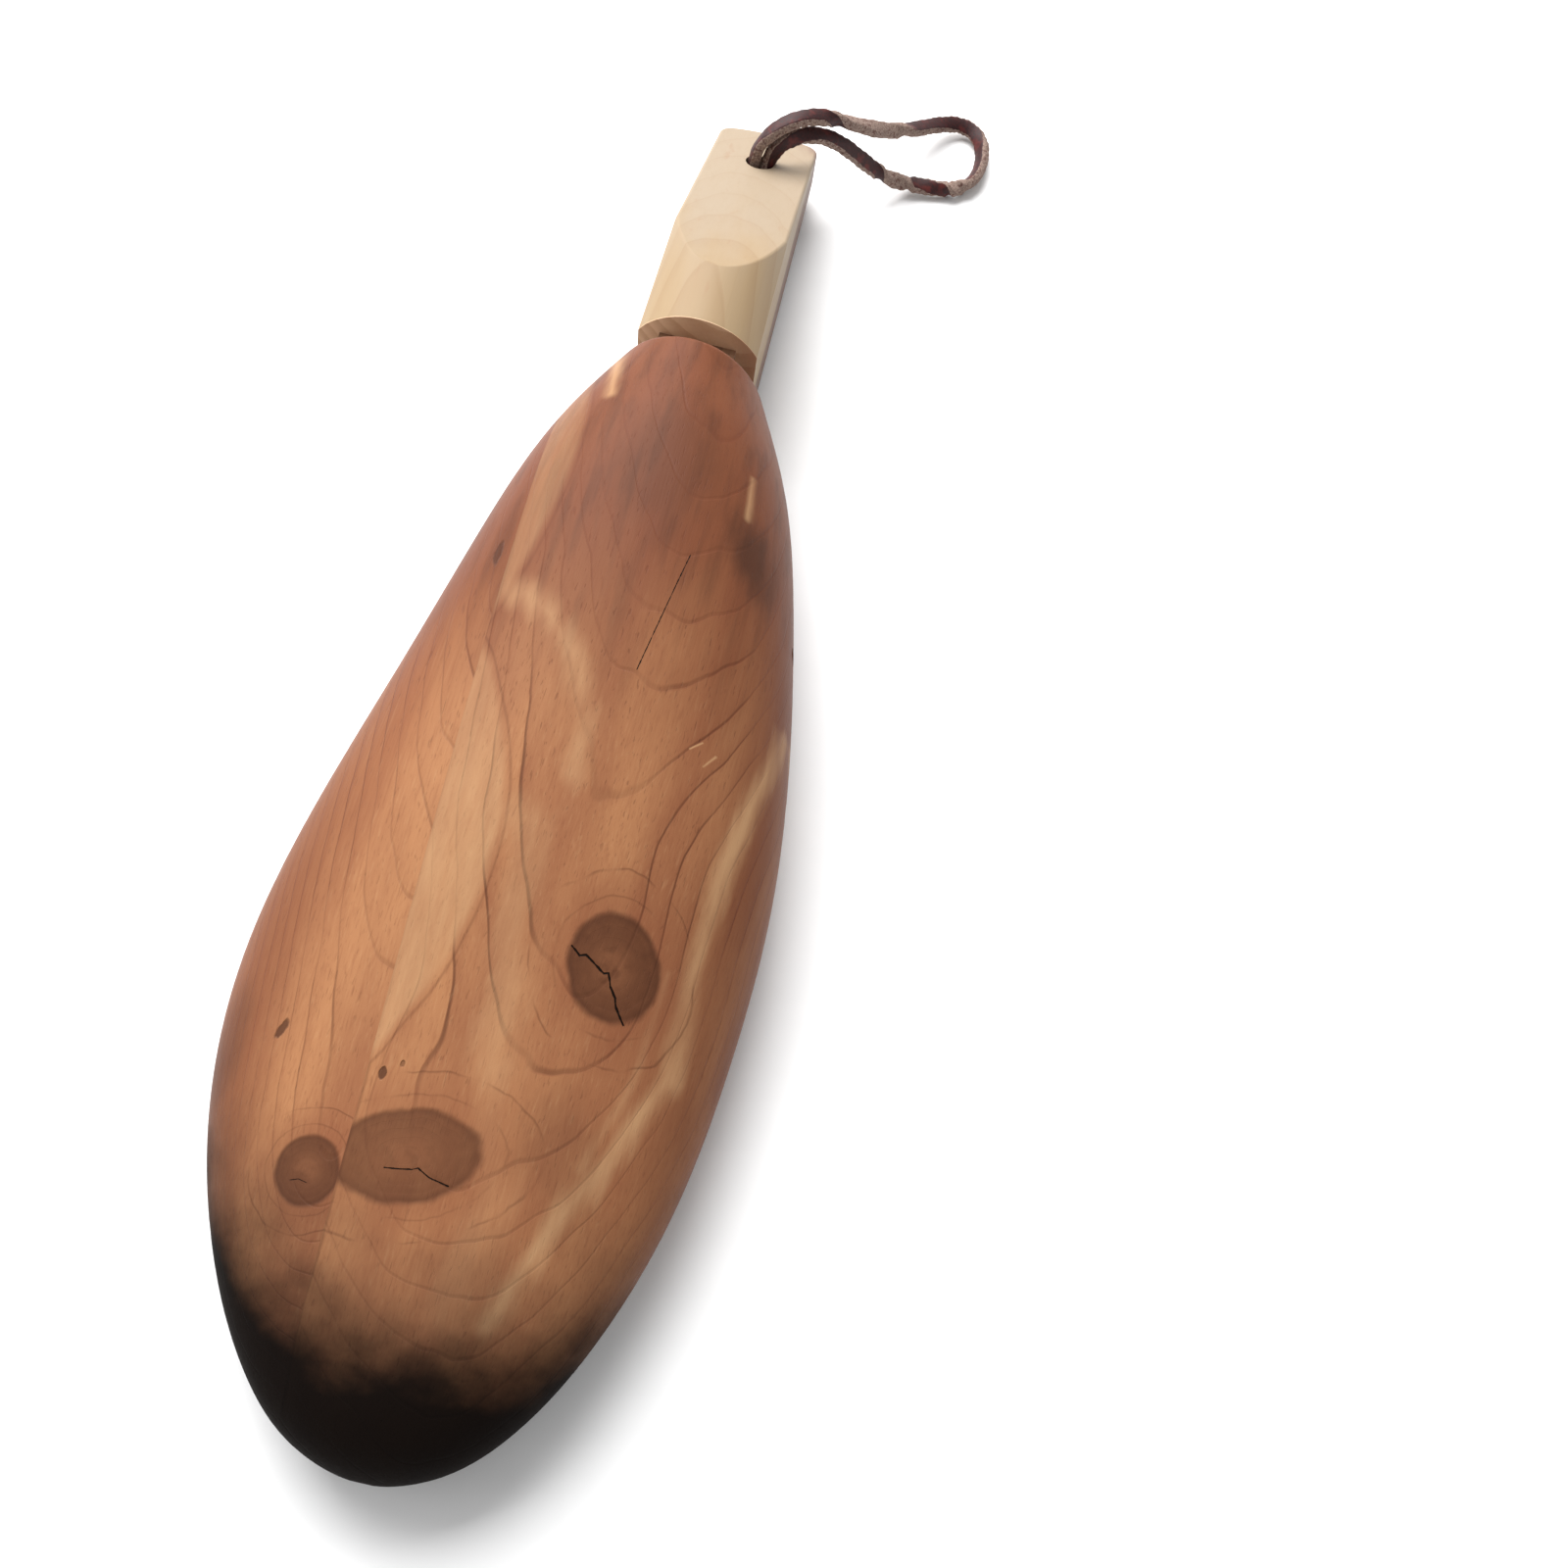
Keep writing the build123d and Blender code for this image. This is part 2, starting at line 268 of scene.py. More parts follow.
class Paint:
    """A material whose nodes are written as expressions of x, y and z in millimetres."""

    def __init__(self, name):
        self.material = bpy.data.materials.new(name)
        self.material.use_nodes = True
        self.nodes = self.material.node_tree.nodes
        self.nodes.clear()
        metres = self.nodes.new("ShaderNodeTexCoord").outputs["Object"]
        scale = self.nodes.new("ShaderNodeVectorMath")
        scale.operation = "SCALE"
        scale.inputs["Scale"].default_value = MM_PER_METRE
        self.put(scale.inputs[0], metres)
        self.place = scale.outputs[0]
        parts = self.nodes.new("ShaderNodeSeparateXYZ")
        self.put(parts.inputs[0], self.place)
        self.x, self.y, self.z = (Field(self, out) for out in parts.outputs)

    def put(self, socket, value):
        """Links a field or output to an input, or sets the input to a plain value."""
        if isinstance(value, Field):
            value = value.socket
        if isinstance(value, bpy.types.NodeSocket):
            self.material.node_tree.links.new(value, socket)
        else:
            socket.default_value = value

    def math(self, operation, *values):
        node = self.nodes.new("ShaderNodeMath")
        node.operation = operation
        for socket, value in zip(node.inputs, values):
            self.put(socket, value)
        return Field(self, node.outputs[0])

    def noise(self, grain, detail=2.0, shift=0.0):
        """Noise from 0 to 1 whose lumps have about these lengths along x, y and z."""
        stretch = self.nodes.new("ShaderNodeMapping")
        self.put(stretch.inputs["Vector"], self.place)
        stretch.inputs["Location"].default_value = (shift, shift * 0.7, shift * 1.3)
        stretch.inputs["Scale"].default_value = tuple(1 / length for length in grain)
        node = self.nodes.new("ShaderNodeTexNoise")
        self.put(node.inputs["Vector"], stretch.outputs[0])
        node.inputs["Scale"].default_value = 1
        node.inputs["Detail"].default_value = detail
        return Field(self, node.outputs[0])

    def mix(self, factor, first, second):
        """The first colour at factor 0, the second at factor 1."""
        node = self.nodes.new("ShaderNodeMix")
        node.data_type = "RGBA"
        self.put(node.inputs["Factor"], factor)
        colours = [socket for socket in node.inputs if socket.type == "RGBA"]
        self.put(colours[0], first)
        self.put(colours[1], second)
        return next(out for out in node.outputs if out.type == "RGBA")

    def distance_to_line(self, points):
        """Distance to a polyline, seen from above."""
        nearest = None
        for (x1, y1), (x2, y2) in zip(points, points[1:]):
            dx, dy = x2 - x1, y2 - y1
            along = ((self.x - x1) * dx + (self.y - y1) * dy) / (dx * dx + dy * dy)
            along = along.most(0).least(1)
            off_x, off_y = self.x - along * dx - x1, self.y - along * dy - y1
            distance = (off_x * off_x + off_y * off_y) ** 0.5
            nearest = distance if nearest is None else nearest.least(distance)
        return nearest

    def distance_to_oval(self, centre, half_sizes, turn=0.0):
        """0 at the middle of an oval seen from above, 1 on its edge, and so on outwards."""
        cos, sin = math.cos(math.radians(turn)), math.sin(math.radians(turn))
        off_x, off_y = self.x - centre[0], self.y - centre[1]
        along = (off_x * cos + off_y * sin) / half_sizes[0]
        across = (off_y * cos - off_x * sin) / half_sizes[1]
        return (along * along + across * across) ** 0.5

    def finish(self, colour, roughness, height=None, **constants):
        """Joins the colour, roughness and height in millimetres to a Principled shader."""
        shader = self.nodes.new("ShaderNodeBsdfPrincipled")
        self.put(shader.inputs["Base Color"], colour)
        self.put(shader.inputs["Roughness"], roughness)
        for name, value in constants.items():
            shader.inputs[name.replace("_", " ")].default_value = value
        if height is not None:
            bump = self.nodes.new("ShaderNodeBump")
            bump.inputs["Distance"].default_value = 1 / MM_PER_METRE
            self.put(bump.inputs["Height"], height)
            self.put(shader.inputs["Normal"], bump.outputs[0])
        output = self.nodes.new("ShaderNodeOutputMaterial")
        self.put(output.inputs["Surface"], shader.outputs[0])
        return self.material


# ---------------------------------------------------------------- wood


def ring_parts(layers, spacing):
    """A thin late-wood line at the edge of each year's layer, and the soft shade that leads up to it."""
    phase = (layers / spacing).fraction()
    line = phase.step(0.105, 0.05) * phase.step(0.0, 0.03)
    return line, phase.step(0.60, 0.05)


def fibres(paint, shift=0.0):
    """Fine streaks along the grain, about 0.5."""
    coarse = paint.noise((1.3, 46, 1.3), detail=3, shift=shift)
    fine = paint.noise((0.28, 9, 0.28), detail=2, shift=shift + 5)
    return coarse * 0.6 + fine * 0.4


class Cedar(Paint):
    """Aromatic cedar, built up in coats: growth rings, light streaks, knots, cracks, stains and painted
    shade.
    """

    LIGHT = linear(0.630, 0.440, 0.300)
    DEEP = linear(0.540, 0.352, 0.240)
    SHADE = linear(0.455, 0.265, 0.180)
    RING = linear(0.250, 0.130, 0.085)
    SAP = linear(0.700, 0.550, 0.400)
    RED = linear(0.410, 0.232, 0.158)
    KNOT = linear(0.335, 0.205, 0.135)
    KNOT_EDGE = linear(0.250, 0.145, 0.100)
    # the next colour serves real mineral stain and also the painted shade at the toe
    STAIN_AND_TOE_SHADE = linear(0.260, 0.165, 0.125)
    CRACK_SHADE = linear(0.022, 0.014, 0.011)
    # painted shade, near black, for the toe's nose
    TOE_SHADE = linear(0.012, 0.008, 0.007)

    def __init__(self, name, layers, spacing, shift, swellings):
        super().__init__(name)
        broad_wave = self.noise((42, 110, 42), detail=2, shift=shift) * 8
        small_wave = self.noise((13, 30, 13), shift=shift) * 2.2
        layers = layers(self) + (broad_wave + small_wave)
        for centre, half_sizes, turn, rise in swellings:
            oval = self.distance_to_oval(centre, half_sizes, turn)
            layers = layers + (oval * oval * -0.5).exp() * rise
        line, shade = ring_parts(layers, spacing)
        self.fibre = fibres(self, shift)
        tone = self.noise((12, 120, 12), detail=3, shift=shift + 11).step(0.30, 0.70)
        self.colour = self.mix(tone, self.LIGHT, self.DEEP)
        strength = self.noise((15, 34, 15), shift=shift + 3).step(0.36, 0.66)
        quiet_toe = self.y.step(-118, -84) * 0.65 + 0.35
        self.coat(shade * (strength * 0.28 + 0.08) * quiet_toe, self.SHADE)
        self.coat(line * (strength * 0.50 + 0.14) * quiet_toe, self.RING)
        self.coat(self.fibre.step(0.50, 0.80) * 0.28, self.SHADE)
        hairs = self.noise((0.40, 14, 0.40), detail=3, shift=shift + 80)
        self.coat(hairs.step(0.50, 0.72) * 0.26, self.SHADE)
        self.coat(hairs.step(0.44, 0.28) * 0.14, self.SAP)
        dashes = self.noise((0.34, 3.0, 0.34), detail=1, shift=shift + 60).step(0.63, 0.74)
        self.coat(dashes * (self.y.step(-70, 20) * 0.35 + 0.20), self.RING)
        self.height = self.fibre * 0.05 - line * 0.03 - dashes * 0.02
        self.roughness = self.fibre * 0.14 + 0.38

    def coat(self, amount, colour):
        self.colour = self.mix(amount, self.colour, colour)

    def streak(self, points, width, amount):
        """A pale streak of sapwood with feathered edges, broken up by the fibres."""
        ragged = self.noise((4, 20, 4), detail=3, shift=21) * width * 1.8 - width * 0.9
        patchy = self.noise((5, 22, 5), shift=27).step(0.20, 0.62) * 0.6 + 0.4
        shape = (self.distance_to_line(points) + ragged).step(width, width * -0.2)
        self.coat(shape * patchy * amount, self.SAP)

    def sap_beside_glue(self, middle_y, half_length, width, amount):
        """Sapwood that widens and narrows again beside the glue joint, with a sharp far edge."""
        bulge = (self.y - middle_y) / half_length
        reach = ((1 - bulge * bulge) * width).most(0) + self.noise((5, 40, 5), shift=50) * 1.6 - 0.8
        inside = reach - (self.x - (self.y * GLUE_SLOPE + GLUE_X))
        bands = self.noise((1.5, 70, 1.5), detail=3, shift=51) * 1.3 + 0.25
        fading = self.y.step(middle_y + half_length, middle_y) * 0.5 + 0.5
        self.coat(inside.step(-0.1, 2.2) * bands * fading * amount, self.SAP)
        self.coat(inside.step(-0.5, -0.1) * inside.step(0.4, 0) * amount * 0.5, self.RING)

    def knot(self, centre, half_sizes, turn, amount):
        """A round brown knot with its own fine rings, a dark rim and a flush of colour round it."""
        wobble = self.noise((5, 5, 5), shift=31) * 0.20 - 0.10
        oval = self.distance_to_oval(centre, half_sizes, turn) + wobble
        inside = oval.step(1.06, 0.93)
        rings = (oval * 5).fraction().step(0.2, 0.9)
        mottle = self.noise((2.2, 2.2, 2.2), detail=4, shift=8)
        self.coat(oval.step(2.1, 1.0) * 0.38 * amount, self.SHADE)
        heartwood = self.mix(rings * 0.12 + mottle * 0.35, self.KNOT, self.KNOT_EDGE)
        self.coat(inside * (mottle * 0.25 + 0.80) * amount, heartwood)
        self.coat(oval.step(0.75, 0.10) * mottle.step(0.3, 0.6) * 0.40 * amount, self.DEEP)
        self.coat(oval.step(0.80, 0.97) * oval.step(1.10, 1.0) * 0.30 * amount, self.KNOT_EDGE)
        halo = oval * 0.90 + self.noise((13, 13, 13), shift=71) * 0.30
        for radius, strength in ((1.34, 0.30), (1.80, 0.45)):
            ring = halo.step(radius - 0.045, radius) * halo.step(radius + 0.03, radius)
            self.coat(ring * self.noise((7, 9, 7), shift=73).step(0.38, 0.62) * strength * amount, self.RING)
        self.height = self.height - inside * (0.04 + rings * 0.008)

    def crack(self, points, width, depth):
        """An open check: painted shade, near black, inside it, with a ragged edge."""
        ragged = self.noise((0.9, 0.9, 0.9), detail=3, shift=15) * width * 2 - width
        inside = (self.distance_to_line(points) + ragged).step(width, width * 0.4)
        # painted shade inside the check
        self.coat(inside * 0.97, self.CRACK_SHADE)
        self.height = self.height - inside * depth

    def fleck(self, centre, half_sizes, turn=0.0, amount=0.8):
        """A small dark bark pocket."""
        wobble = self.noise((1.1, 2.5, 1.1), detail=3, shift=12) * 0.9 - 0.45
        inside = (self.distance_to_oval(centre, half_sizes, turn) + wobble).step(1.1, 0.7)
        self.coat(inside * amount, self.KNOT_EDGE)
        self.height = self.height - inside * 0.15

    def smudge(self, centre, half_sizes, turn, amount):
        """A soft dark purple-brown patch of mineral stain."""
        wobble = self.noise((4, 9, 4), detail=4, shift=17) * 0.9 - 0.45
        oval = self.distance_to_oval(centre, half_sizes, turn) + wobble
        self.coat(oval.step(1.25, 0.35) * amount, self.STAIN_AND_TOE_SHADE)

    def toe_painted_shade(self):
        """Painted shade on the toe: darker low down and towards the front, in smoky patches, closing up to
        near black on the nose.
        """
        cloud = self.noise((15, 11, 13), detail=5, shift=40) * 22 - 11
        low_front = (self.y + self.z * 0.7 + self.x * 0.08 - self.x * self.x * 0.006 + cloud) * -1
        shade_amount = low_front.step(107, 128)
        # painted shade: dark brown where the toe begins to fall away, then near black on the nose
        self.coat(low_front.step(90, 116) * 0.50, self.STAIN_AND_TOE_SHADE)
        self.coat(shade_amount * 0.98, self.TOE_SHADE)
        self.roughness = self.roughness + shade_amount * 0.35

    def rear_tone(self):
        """The wood deepens to a redder brown towards the rear end."""
        cloud = self.noise((14, 40, 14), detail=3, shift=45) * 30 - 15
        self.coat((self.y + cloud).step(-50, 8) * 0.90, self.RED)
        blotch = self.noise((2.6, 24, 2.6), detail=4, shift=47).step(0.42, 0.72)
        self.coat(blotch * self.y.step(-40, 10) * 0.38, self.STAIN_AND_TOE_SHADE)

    def finished(self):
        return self.finish(self.colour, self.roughness, self.height, Specular_IOR_Level=0.07)


KNOT_ONE = ((17.1, -72.1), (7.6, 8.9), 20)
KNOT_TWO = ((-6.8, -108.6), (11.6, 7.2), 14)
KNOT_TWO_SIDE = ((-21.4, -113.8), (5.2, 5.4), 16)

# Points along the middle, how far it reaches from them, amount
MAIN_BOARD_STREAKS = [
    ([(36, -20), (31, -47), (30, -69), (30, -86), (24, -101), (17, -116), (12, -130)], 3.0, 0.80),
    ([(26, -70), (25, -88), (20, -104)], 1.6, 0.35),
    ([(-15, -11), (-9, -15), (-2, -23), (1.5, -31), (2, -42)], 4.5, 0.55),
    ([(-2, -52), (1, -74), (3, -92)], 7.0, 0.36),
    ([(3, -94), (8, -112), (5, -130)], 6.0, 0.18),
    ([(18.7, 26), (19.6, 16.4)], 1.3, 0.85),
    ([(-14, 52), (-11.5, 36)], 2.4, 0.70),
]
# Centre, half sizes, turn in degrees, amount
MAIN_BOARD_SMUDGES = [
    ((22.5, 8.5), (4.6, 10.5), 20, 0.75),
    ((4, 22), (11, 18), 0, 0.35),
    ((29, 33), (2.6, 4.5), 0, 0.60),
    ((17, -104), (8, 13), 20, 0.24),
]
# Points along the crack, half width, depth
MAIN_BOARD_CRACKS = [
    ([(9.6, -70.4), (11.2, -71.6), (12.2, -71.2), (14.2, -72.4), (15.7, -73.3),
      (16.5, -73.0), (17.3, -75.0), (18.5, -76.6), (19.0, -78.0), (20.9, -80.4)], 0.19, 0.8),
    ([(-9.6, -111.0), (-7.8, -110.8), (-5.4, -110.4),
      (-4.5, -110.0), (-2.4, -111.0), (0.8, -111.6)], 0.12, 0.8),
    ([(11.7, 3.2), (8.0, -21.3)], 0.10, 0.3),
]


def main_board_layers(p):
    """Year layers that show as nested arches behind the two big knots and again at the toe."""
    middle = (p.y + 50).most(0).least(48) * 0.27 + 8
    arch = (p.x - middle) * (p.x - middle) / -115
    return p.z * 0.55 + arch + (p.y + 45).ramp(26) * 0.25 - (p.y * -1 - 108).ramp(16) * 0.17


def main_board_cedar():
    cedar = Cedar("cedar_main_board", main_board_layers, spacing=2.9, shift=2.0,
                  swellings=[(KNOT_ONE[0], (13, 19), 20, 6.0), (KNOT_TWO[0], (18, 14), 16, 5.0)])
    cedar.rear_tone()
    # painted shade: darker red-brown along the right edge, broken up by noise, where the side falls away
    right_edge_shade = cedar.x.step(23, 38) * cedar.noise((8, 50, 8), shift=66).step(0.0, 0.6)
    cedar.coat(right_edge_shade * 0.80, cedar.RED)
    cedar.sap_beside_glue(-58, 38, 12.0, 0.50)
    cedar.sap_beside_glue(22, 40, 7.5, 0.26)
    for streak in MAIN_BOARD_STREAKS:
        cedar.streak(*streak)
    for smudge in MAIN_BOARD_SMUDGES:
        cedar.smudge(*smudge)
    cedar.knot(*KNOT_ONE, 0.95)
    cedar.knot(*KNOT_TWO, 0.78)
    cedar.streak([(20.2, -31.9), (22.1, -30.0)], 0.35, 0.9)
    cedar.streak([(23.2, -34.0), (24.9, -31.4)], 0.40, 0.9)
    cedar.fleck((-14.3, -97.1), (0.7, 1.1))
    cedar.fleck((-11.5, -95.0), (0.4, 0.6), 0, 0.5)
    # painted shade on the toe
    cedar.toe_painted_shade()
    for crack in MAIN_BOARD_CRACKS:
        cedar.crack(*crack)
    return cedar.finished()


def side_board_layers(p):
    """Year layers that run along the board and turn in to the glue joint."""
    arch = (p.x + 16) * (p.x + 16) / -70
    return p.z * 0.5 + arch + p.y * 0.11 - (p.y * -1 - 115).ramp(14) * 0.1


def side_board_cedar():
    cedar = Cedar("cedar_side_board", side_board_layers, spacing=2.1, shift=19.0,
                  swellings=[(KNOT_TWO_SIDE[0], (9, 12), 0, 3.6)])
    cedar.rear_tone()
    # painted shade: darker red-brown along the left edge, where the side falls away
    cedar.coat(cedar.x.step(-27, -43) * 0.75, cedar.RED)
    cedar.smudge((-42, -96), (4, 12), 0, 0.35)
    cedar.streak([(-36, -8), (-38, -18)], 1.5, 0.30)
    cedar.knot(*KNOT_TWO_SIDE, 0.92)
    cedar.crack([(-23.6, -115.7), (-22.3, -115.3), (-20.9, -115.6)], 0.08, 0.3)
    cedar.fleck((-32.8, -93.1), (0.8, 1.9), -20)
    cedar.fleck((-22.6, -2.6), (0.8, 3.0), 0, 0.7)
    # painted shade on the toe
    cedar.toe_painted_shade()
    return cedar.finished()


def pale_wood():
    """The heel block: creamy sapwood with broad faint bands, painted purple-brown shade along its lower
    right side, a browner front end, and end grain painted lighter than the wood, as light on it.
    """
    paint = Paint("pale_wood")
    wave = paint.noise((16, 70, 16), detail=2, shift=3) * 5
    layers = paint.z * 0.6 - paint.x * paint.x / 40 - paint.y * 0.10 + wave
    line, shade = ring_parts(layers, 3.4)
    fibre = fibres(paint, 9)
    front = paint.y.step(112, 66)
    tone = (paint.noise((7, 60, 7), detail=3, shift=7) * 0.6 + front * 0.5).step(0.3, 0.9)
    colour = paint.mix(tone, linear(0.600, 0.535, 0.455), linear(0.595, 0.505, 0.385))
    colour = paint.mix(shade * (front * 0.22 + 0.04), colour, linear(0.535, 0.425, 0.305))
    colour = paint.mix(line * 0.07, colour, linear(0.480, 0.355, 0.240))
    colour = paint.mix(fibre.step(0.45, 0.8) * 0.12, colour, linear(0.510, 0.415, 0.300))
    blush = paint.noise((2.2, 12, 2.2), detail=3, shift=61).step(0.62, 0.78)
    colour = paint.mix(blush * 0.25, colour, linear(0.550, 0.385, 0.275))
    # painted shade: purple-brown along the lower right side of the block
    lower_right_shade = (paint.x * 0.5 - paint.z + 9 + paint.noise((5, 40, 5), shift=33) * 5).step(0, 4)
    colour = paint.mix(lower_right_shade * 0.8, colour, linear(0.390, 0.265, 0.240))
    end_face = paint.y.step(*END_FACE_Y)
    arcs = ((layers + paint.x * 0.3) / 2.6).fraction().step(0.1, 0.9)
    pores = paint.noise((0.5, 0.5, 0.5), detail=3, shift=5)
    end_grain = arcs * 0.35 + pores * 0.3
    # painted light: the end grain sits in shade, so it is given colours lighter than the rest of the block
    end_colour_with_painted_light = paint.mix(end_grain, linear(0.880, 0.760, 0.620), linear(0.700, 0.540, 0.410))
    end_colour_with_painted_light = paint.mix(paint.x.step(3, 12) * 0.7, end_colour_with_painted_light, linear(0.560, 0.360, 0.260))
    colour = paint.mix(end_face, colour, end_colour_with_painted_light)
    height = fibre * 0.04 - line * 0.01
    return paint.finish(colour, fibre * 0.12 + 0.46, height, Specular_IOR_Level=0.18)


def brown_hardwood():
    """The tongue's plain brown wood."""
    paint = Paint("brown_hardwood")
    layers = paint.z + paint.noise((12, 80, 12), shift=4) * 5
    rings = ring_parts(layers, 1.6)[1]
    fibre = fibres(paint, 30)
    colour = paint.mix(rings * 0.5, linear(0.500, 0.370, 0.270), linear(0.330, 0.220, 0.150))
    colour = paint.mix(fibre.step(0.4, 0.8) * 0.4, colour, linear(0.270, 0.170, 0.110))
    return paint.finish(colour, fibre * 0.2 + 0.45, fibre * 0.06 - rings * 0.03)


# ---------------------------------------------------------------- metal and leather


def drawn_steel(name, grain, unshaded_half_length=NEVER_SHADED):
    """Drawn steel, dulled in places, with painted shade in dark brown-black further than the given half
    length from x = 0, where the cross pin's ends sit in their recesses.
    """
    paint = Paint(name)
    lines = paint.noise(grain, detail=3)
    dull = paint.noise((4, 4, 4), detail=3, shift=2).step(0.4, 0.75)
    colour = paint.mix(dull * 0.4, linear(0.74, 0.74, 0.73), linear(0.48, 0.45, 0.42))
    from_middle = (paint.x * paint.x) ** 0.5
    # painted shade on the ends, where they sit in recesses
    end_shade = from_middle.step(unshaded_half_length, unshaded_half_length + SHADE_FADE_WIDTH)
    colour = paint.mix(end_shade * 0.95, colour, linear(0.13, 0.10, 0.09))
    roughness = lines * 0.2 + dull * 0.15 + end_shade * 0.4 + 0.22
    return paint.finish(colour, roughness, lines * 0.01, Metallic=1.0)


def lace_grain():
    """The smooth dyed side of the lace: oxblood, rubbed lighter and redder on its high spots."""
    paint = Paint("lace_grain")
    cells = paint.noise((0.45, 0.45, 0.45), detail=3, shift=3)
    worn = paint.noise((2.4, 2.4, 2.4), detail=4, shift=9).step(0.48, 0.72)
    colour = paint.mix(cells.step(0.3, 0.7), linear(0.140, 0.065, 0.068), linear(0.235, 0.090, 0.088))
    colour = paint.mix(worn * 0.6, colour, linear(0.400, 0.150, 0.130))
    return paint.finish(colour, cells * 0.25 + 0.45, cells * 0.06, Specular_IOR_Level=0.28)


def lace_flesh():
    """The raw side and cut edges of the lace: fibrous grey-beige with specks of dye."""
    paint = Paint("lace_flesh")
    fuzz = paint.noise((0.35, 0.35, 0.35), detail=4, shift=1)
    specks = paint.noise((0.9, 0.9, 0.9), detail=4, shift=6).step(0.52, 0.66)
    colour = paint.mix(fuzz.step(0.3, 0.7), linear(0.420, 0.345, 0.315), linear(0.590, 0.510, 0.465))
    colour = paint.mix(specks * 0.7, colour, linear(0.300, 0.160, 0.145))
    return paint.finish(colour, 0.9, fuzz * 0.12, Specular_IOR_Level=0.2)


# ---------------------------------------------------------------- pieces


def spline_points(name, route, closed=False, resolution=10):
    """Points along the smooth curve that has the route as its control points."""
    curve = bpy.data.curves.new(name, "CURVE")
    curve.dimensions = "3D"
    curve.resolution_u = resolution
    spline = curve.splines.new("NURBS")
    spline.points.add(len(route) - 1)
    for point, place in zip(spline.points, route):
        point.co = (*place, 1)
    spline.order_u = 3
    spline.use_endpoint_u = not closed
    spline.use_cyclic_u = closed
    holder = link(bpy.data.objects.new(name, curve))
    mesh = bpy.data.meshes.new_from_object(holder)
    points = [vertex.co.copy() for vertex in mesh.vertices]
    bpy.data.objects.remove(holder)
    bpy.data.curves.remove(curve)
    bpy.data.meshes.remove(mesh)
    return points


def twist_at(share, keys):
    """The lace's turn at a share of its length, in radians, eased between the keys."""
    for (start, first), (end, second) in zip(keys, keys[1:]):
        if share <= end:
            part = (share - start) / (end - start)
            return math.radians(first + (second - first) * part * part * (3 - 2 * part))
    return math.radians(keys[-1][1])


def lace_section(index):
    """A corner of the lace's section, a rounded oblong, as across and above; the grain side is above."""
    angle = 2 * math.pi * index / LACE_SIDES
    cos, sin = math.cos(angle), math.sin(angle)
    across = math.copysign(abs(cos) ** 0.5, cos) * LACE_WIDTH / 2
    above = math.copysign(abs(sin) ** 0.5, sin) * LACE_THICKNESS / 2
    return across, above


def lace_mesh(name, points, keys, facing, closed=False, slim=1.0):
    """A flat lace along points. Its grain side starts towards facing and turns by keys, as in LACE_TWIST."""
    shape = bmesh.new()
    rings = []
    count = len(points)
    for number, point in enumerate(points):
        before = points[number - 1] if closed or number else point
        after = points[(number + 1) % count] if closed or number < count - 1 else point
        tangent = (after - before).normalized()
        share = number / (count - 1)
        normal = (facing - tangent * facing.dot(tangent)).normalized()
        normal.rotate(Quaternion(tangent, twist_at(share, keys)))
        side = tangent.cross(normal)
        uneven = 1 + 0.05 * math.sin(number * 1.7) + 0.04 * math.sin(number * 0.61 + 2)
        ring = []
        for index in range(LACE_SIDES):
            across, above = lace_section(index)
            ring.append(shape.verts.new(point + (side * across * uneven + normal * above) * slim))
        rings.append(ring)
    for ring, following in zip(rings, rings[1:] + rings[:1] if closed else rings[1:]):
        for index in range(LACE_SIDES):
            corner = (index + 1) % LACE_SIDES
            face = shape.faces.new((ring[index], ring[corner], following[corner], following[index]))
            face.smooth = True
            face.material_index = 0 if index in LACE_GRAIN_SIDES else 1
    if not closed:
        shape.faces.new(rings[0]).material_index = 1
        shape.faces.new(reversed(rings[-1])).material_index = 1
    bmesh.ops.recalc_face_normals(shape, faces=shape.faces)
    mesh = bpy.data.meshes.new(name)
    shape.to_mesh(mesh)
    shape.free()
    piece = link(bpy.data.objects.new(name, mesh))
    for material in (GRAIN, FLESH):
        mesh.materials.append(material)
    return piece


def add_pull_loop():
    """The lace: up out of the hole, over the end of the block, round on the floor and back."""
    points = spline_points("loop_path", LOOP_ROUTE)
    lace = lace_mesh("leather_pull_loop", points, LACE_TWIST, Vector(LACE_GRAIN_FACES))
    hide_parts("pull_loop")
    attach(lace, "heel")
    knot = add_knot()


def add_knot():
    """An overhand knot of the lace in its pocket under the heel block."""
    low, high = (Vector(corner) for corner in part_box("loop_knot"))
    centre = (low + high) / 2
    reach = (high.x - low.x) / 2 - LACE_WIDTH / 2
    rise = (high.z - low.z) / 2 - LACE_WIDTH / 2
    steps = 24
    route = []
    for number in range(steps):
        turn = 2 * math.pi * number / steps
        x = (math.sin(turn) + 2 * math.sin(2 * turn)) / 3
        y = (math.cos(turn) - 2 * math.cos(2 * turn)) / 3
        route.append(centre + Vector((x * reach, y * reach, -math.sin(3 * turn) * rise * 0.8)))
    points = spline_points("knot_path", route, closed=True, resolution=6)
    one_turn = [(0, 0), (1, 360)]
    facing = Vector((0.1, 0.2, 1))
    knot = lace_mesh("leather_loop_knot", points, one_turn, facing, closed=True, slim=0.95)
    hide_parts("loop_knot")
    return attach(knot, "heel")


def spring_rise(share):
    """The share of the spring's length reached at a share of its turns, slower in the closed ends."""
    open_turns = min(max((share - SPRING_END) / (1 - 2 * SPRING_END), 0), 1)
    end_turns = min(share, SPRING_END) + max(share - (1 - SPRING_END), 0)
    return open_turns * 0.88 + end_turns * 0.6


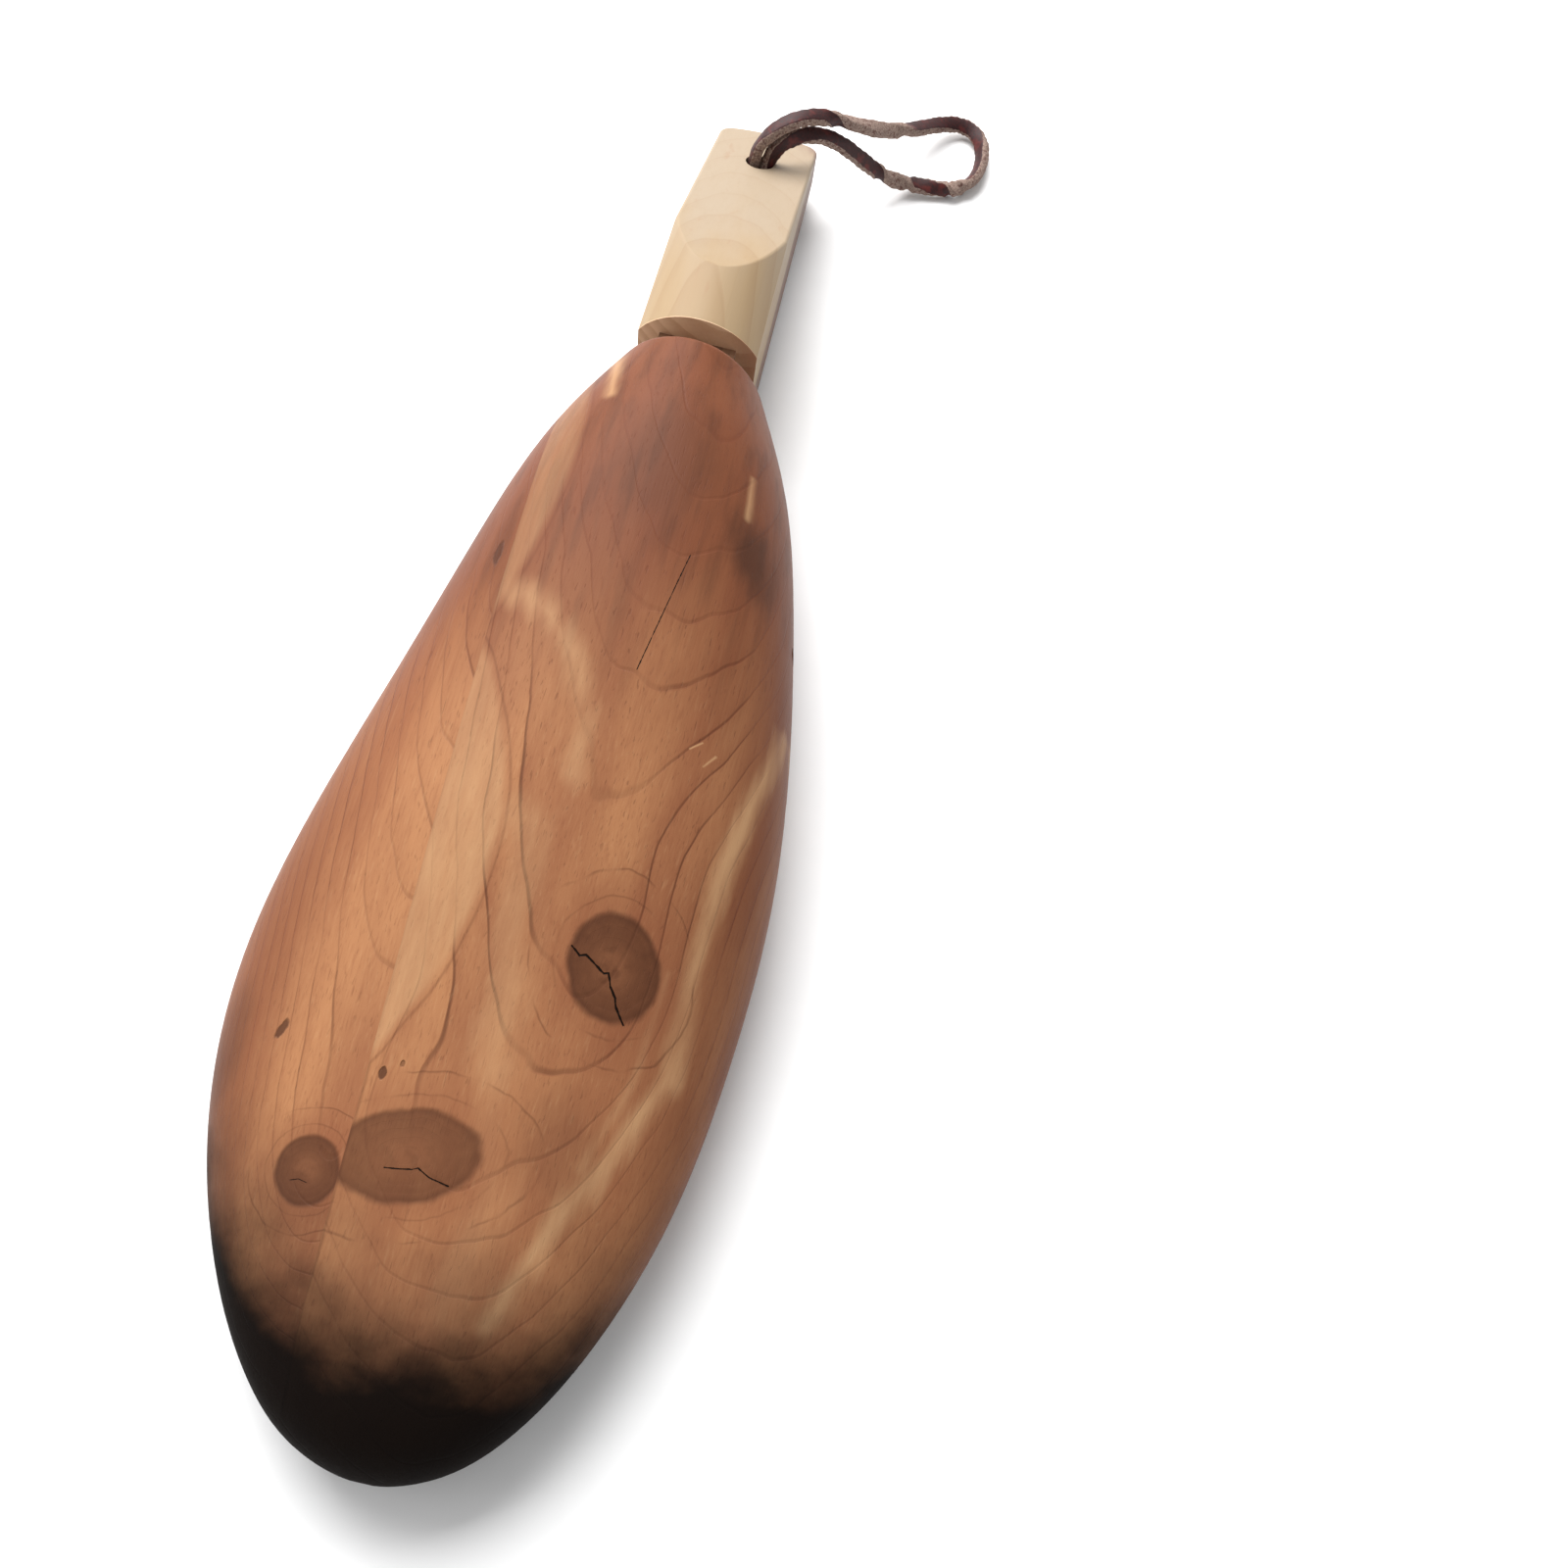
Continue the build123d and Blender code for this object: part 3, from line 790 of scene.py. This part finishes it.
def add_spring():
    """The coil spring, with closed end coils, built at one length; nothing here shortens it as the heel is
    pushed in.
    """
    low, high = (Vector(corner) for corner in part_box("coil_spring"))
    wire = SPRING_WIRE_RADIUS
    radius = (high.x - low.x) / 2 - wire
    length = high.y - low.y - 2 * wire
    centre = (low + high) / 2
    along = Vector((0, 1, 0))
    last = SPRING_TURNS * SPRING_STEPS
    shape = bmesh.new()
    rings = []
    for number in range(last + 1):
        share = number / last
        angle = 2 * math.pi * SPRING_TURNS * share
        out = Vector((math.cos(angle), 0, math.sin(angle)))
        height = low.y + wire + length * spring_rise(share)
        middle = Vector((centre.x, height, centre.z)) + out * radius
        ring = []
        for side in range(SPRING_SIDES):
            turn = 2 * math.pi * side / SPRING_SIDES
            ring.append(shape.verts.new(middle + (out * math.cos(turn) + along * math.sin(turn)) * wire))
        rings.append(ring)
    for ring, following in zip(rings, rings[1:]):
        for side in range(SPRING_SIDES):
            corner = (side + 1) % SPRING_SIDES
            shape.faces.new((ring[side], ring[corner], following[corner], following[side])).smooth = True
    shape.faces.new(rings[0])
    shape.faces.new(reversed(rings[-1]))
    bmesh.ops.recalc_face_normals(shape, faces=shape.faces)
    mesh = bpy.data.meshes.new("steel_coil_spring")
    shape.to_mesh(mesh)
    shape.free()
    mesh.materials.append(drawn_steel("spring_wire", (0.4, 0.4, 0.4)))
    spring = link(bpy.data.objects.new("steel_coil_spring", mesh))
    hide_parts("coil_spring")
    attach(spring, "forepart")
    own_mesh(spring)


def dress(node, material):
    """Gives a CAD node its material."""
    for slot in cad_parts[node].material_slots:
        slot.material = material


add_camera()
GRAIN, FLESH = lace_grain(), lace_flesh()
add_pull_loop()
add_spring()
dress("forepart_main_board", main_board_cedar())
dress("forepart_side_board", side_board_cedar())
dress("heel_block", pale_wood())
dress("slide_tongue", brown_hardwood())
# the cross pin's ends get painted shade, for their recesses
dress("cross_pin", drawn_steel("pin_steel", (9, 0.3, 0.3), unshaded_half_length=PIN_UNSHADED_HALF_LENGTH))
dress("spring_seat", drawn_steel("seat_steel", (0.5, 0.5, 0.5)))
add_studio()
